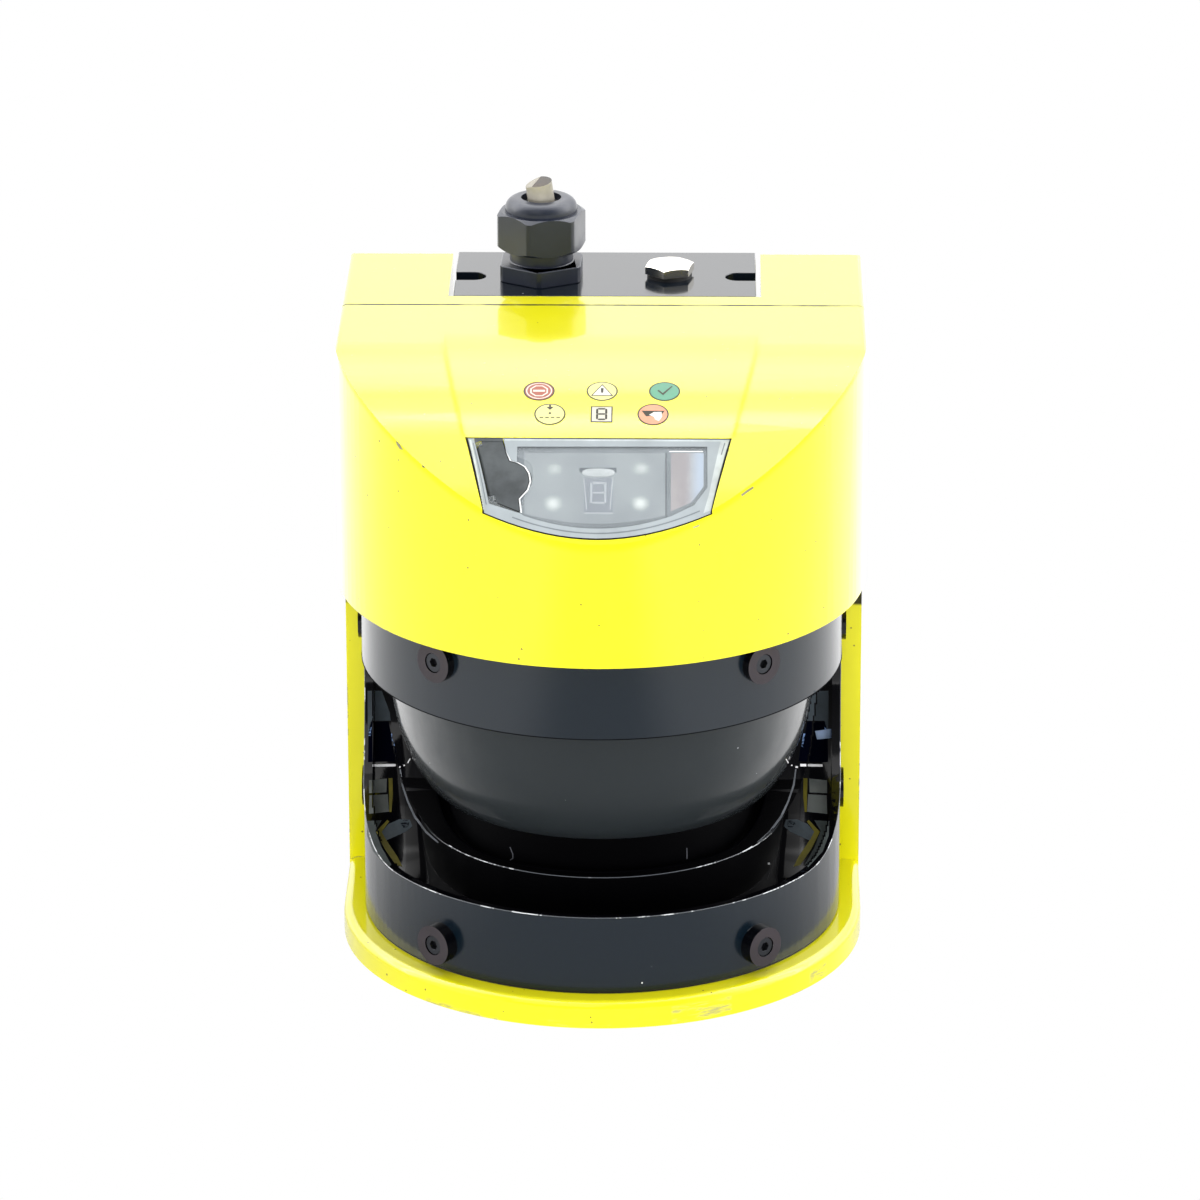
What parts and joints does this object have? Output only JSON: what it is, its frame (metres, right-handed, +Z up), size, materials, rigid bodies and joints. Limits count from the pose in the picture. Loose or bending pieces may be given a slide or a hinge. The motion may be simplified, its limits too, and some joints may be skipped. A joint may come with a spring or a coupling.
{
  "type": "safety laser scanner",
  "caption": "Cast sensor housing with a sloping display hood, a one-piece black optics cover whose bowl-shaped window hides a rotating scan mirror, and a plug-in cable block with gland.",
  "frame": {"origin": "centre of the footprint, on the underside of the base plate", "axes": "+X to the scanner's right seen from its front, +Y to the rear mounting face, +Z up; the optics face -Y"},
  "size_m": [0.155, 0.16, 0.216],
  "materials": {
    "housing": "glossy yellow coat",
    "hood": "glossy yellow coat",
    "optics_cover": "infrared-clear black moulding",
    "cover_seal": "matt",
    "cover_screws": "darkened",
    "hood_screws": "zinc plated",
    "display_window": "tinted clear moulding",
    "display_tray": "satin",
    "display_board": "circuit board",
    "digit_display": "smooth",
    "status_leds": "diffusing",
    "light_guide": "diffusing",
    "connector_flap": "smoked",
    "service_connector": "satin",
    "system_plug": "glossy black moulding",
    "plug_base": "satin",
    "plug_connector": "satin",
    "plug_socket": "satin",
    "plug_screws": "zinc plated",
    "gland_body": "satin",
    "gland_locknut": "satin",
    "gland_seal": "matt",
    "gland_nut": "satin",
    "cable_stub": "matt",
    "blanking_plug": "nickel plated",
    "blanking_seal": "matt",
    "motor_plate": "machined",
    "motor_can": "turned",
    "motor_stator": "laminated core with copper windings",
    "motor_bearings": "ground",
    "motor_shaft": "ground",
    "rotor_magnet": "ground",
    "encoder_disc": "etched",
    "encoder_fork": "satin",
    "mirror_carrier": "turned",
    "scan_mirror": "front coated",
    "optics_frame": "black anodised",
    "receiver_lens": "polished",
    "lens_ring": "black anodised",
    "laser_module": "turned",
    "receiver_board": "circuit board",
    "optics_screws": "zinc plated",
    "window_sensors": "circuit board",
    "main_board": "circuit board",
    "board_parts": "satin"
  },
  "bodies": {
    "scanner": {"housing": "housing", "hood": "hood", "optics_cover": "optics_cover", "cover_seal": "cover_seal", "cover_screws": "cover_screws", "hood_screws": "hood_screws", "display_window": "display_window", "display_tray": "display_tray", "display_board": "display_board", "digit_display": "digit_display", "status_leds": "status_leds", "light_guide": "light_guide", "service_connector": "service_connector", "system_plug": "system_plug", "plug_base": "plug_base", "plug_connector": "plug_connector", "plug_socket": "plug_socket", "plug_screws": "plug_screws", "gland_body": "gland_body", "gland_locknut": "gland_locknut", "gland_seal": "gland_seal", "gland_nut": "gland_nut", "cable_stub": "cable_stub", "blanking_plug": "blanking_plug", "blanking_seal": "blanking_seal", "motor_plate": "motor_plate", "motor_can": "motor_can", "motor_stator": "motor_stator", "motor_bearings": "motor_bearings", "encoder_fork": "encoder_fork", "optics_frame": "optics_frame", "receiver_lens": "receiver_lens", "lens_ring": "lens_ring", "laser_module": "laser_module", "receiver_board": "receiver_board", "optics_screws": "optics_screws", "window_sensors": "window_sensors", "main_board": "main_board", "board_parts": "board_parts"},
    "rotor": {"motor_shaft": "motor_shaft", "rotor_magnet": "rotor_magnet", "encoder_disc": "encoder_disc", "mirror_carrier": "mirror_carrier", "scan_mirror": "scan_mirror"},
    "flap": {"connector_flap": "connector_flap"}
  },
  "joints": [
    {"name": "rotor_spin", "type": "hinge", "parent": "scanner", "child": "rotor", "pos_m": [0, -0.0025, 0.03], "axis": [0, 0, 1], "continuous": true},
    {"name": "flap_hinge", "type": "hinge", "parent": "scanner", "child": "flap", "pos_m": [-0.0336, -0.05226, 0.16972], "axis": [0.2195, -0.8032, -0.5538], "range_deg": [0, 90]}
  ]
}
